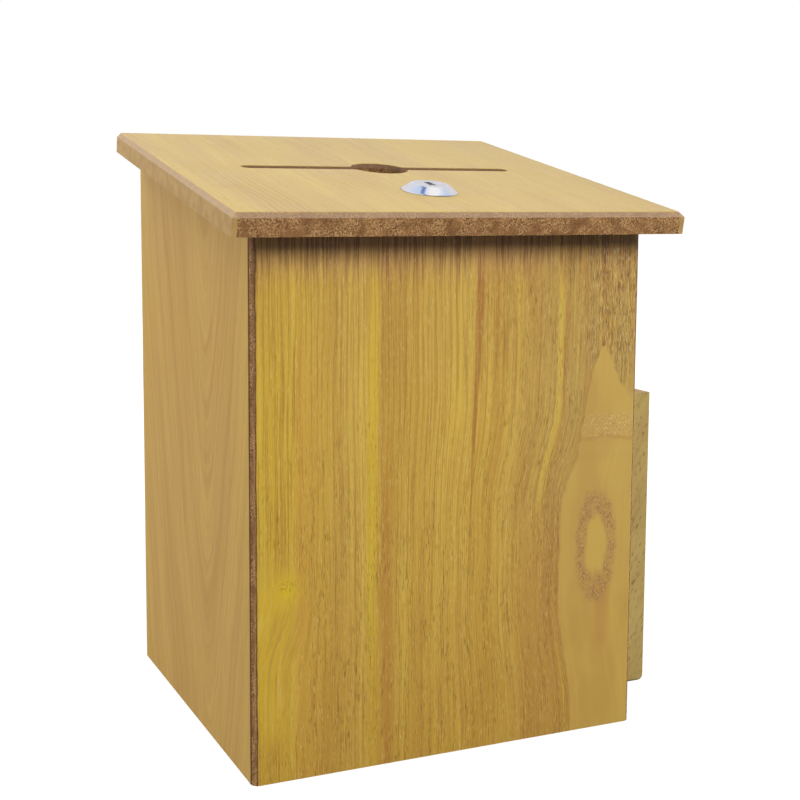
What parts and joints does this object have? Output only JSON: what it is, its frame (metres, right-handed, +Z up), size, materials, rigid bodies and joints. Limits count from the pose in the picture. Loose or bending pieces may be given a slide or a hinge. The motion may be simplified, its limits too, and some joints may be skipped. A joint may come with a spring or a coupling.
{
  "type": "locking drop box",
  "caption": "Small upright wooden drop box: sloping hinged lid with a long slot, finger hole and cam lock, and an open card pocket on its right side.",
  "frame": {"origin": "centre of the base, on the table", "axes": "+Z up, -Y out of the front, +X to the pocket side"},
  "size_m": [0.1972, 0.1833, 0.2525],
  "materials": {
    "front_veneer": "satin lacquered veneer on fibreboard",
    "side_veneer": "satin lacquered veneer on fibreboard",
    "lid_veneer": "satin lacquered veneer on fibreboard, bare bevelled edges",
    "pocket_veneer": "satin lacquered veneer on fibreboard",
    "fibreboard": "bare brown fibreboard",
    "lock_chrome": "polished plating",
    "plug_chrome": "polished plating",
    "zinc_plate": "zinc plated pressed steel",
    "zinc_screw": "zinc plated",
    "pin_steel": "drawn steel",
    "hinge_brass": "brass plated pressed steel",
    "brass_screw": "brass plated",
    "wafer_brass": "stamped brass"
  },
  "bodies": {
    "cabinet": {"front_wall": "front_veneer", "right_wall": "side_veneer", "back_wall": "side_veneer", "left_wall": "side_veneer", "bottom_panel": "fibreboard", "pocket_panel": "side_veneer", "pocket_front_strip": "pocket_veneer", "pocket_rear_strip": "pocket_veneer", "pocket_bottom_strip": "pocket_veneer", "pocket_screws": "zinc_screw", "hinge_left_wall_leaf": "hinge_brass", "hinge_left_pin": "pin_steel", "hinge_right_wall_leaf": "hinge_brass", "hinge_right_pin": "pin_steel", "hinge_wall_screws": "brass_screw", "lock_strike": "zinc_plate", "strike_screws": "zinc_screw"},
    "lid": {"lid_panel": "lid_veneer", "hinge_left_lid_leaf": "hinge_brass", "hinge_right_lid_leaf": "hinge_brass", "hinge_lid_screws": "brass_screw", "lock_body": "lock_chrome", "lock_washer": "zinc_plate", "lock_nut": "zinc_plate"},
    "lock_core": {"lock_plug": "plug_chrome", "lock_wafers": "wafer_brass", "lock_cam": "zinc_plate", "cam_washer": "zinc_plate", "cam_screw": "zinc_screw"}
  },
  "joints": [
    {"name": "lid_hinge", "type": "hinge", "parent": "cabinet", "child": "lid", "pos_m": [0, 0.0838, 0.24324], "axis": [-1, 0, 0], "range_deg": [0, 110]},
    {"name": "lock_turn", "type": "hinge", "parent": "lid", "child": "lock_core", "pos_m": [0, -0.05677, 0.22633], "axis": [0, -0.1896, 0.9819], "range_deg": [0, 90]}
  ]
}
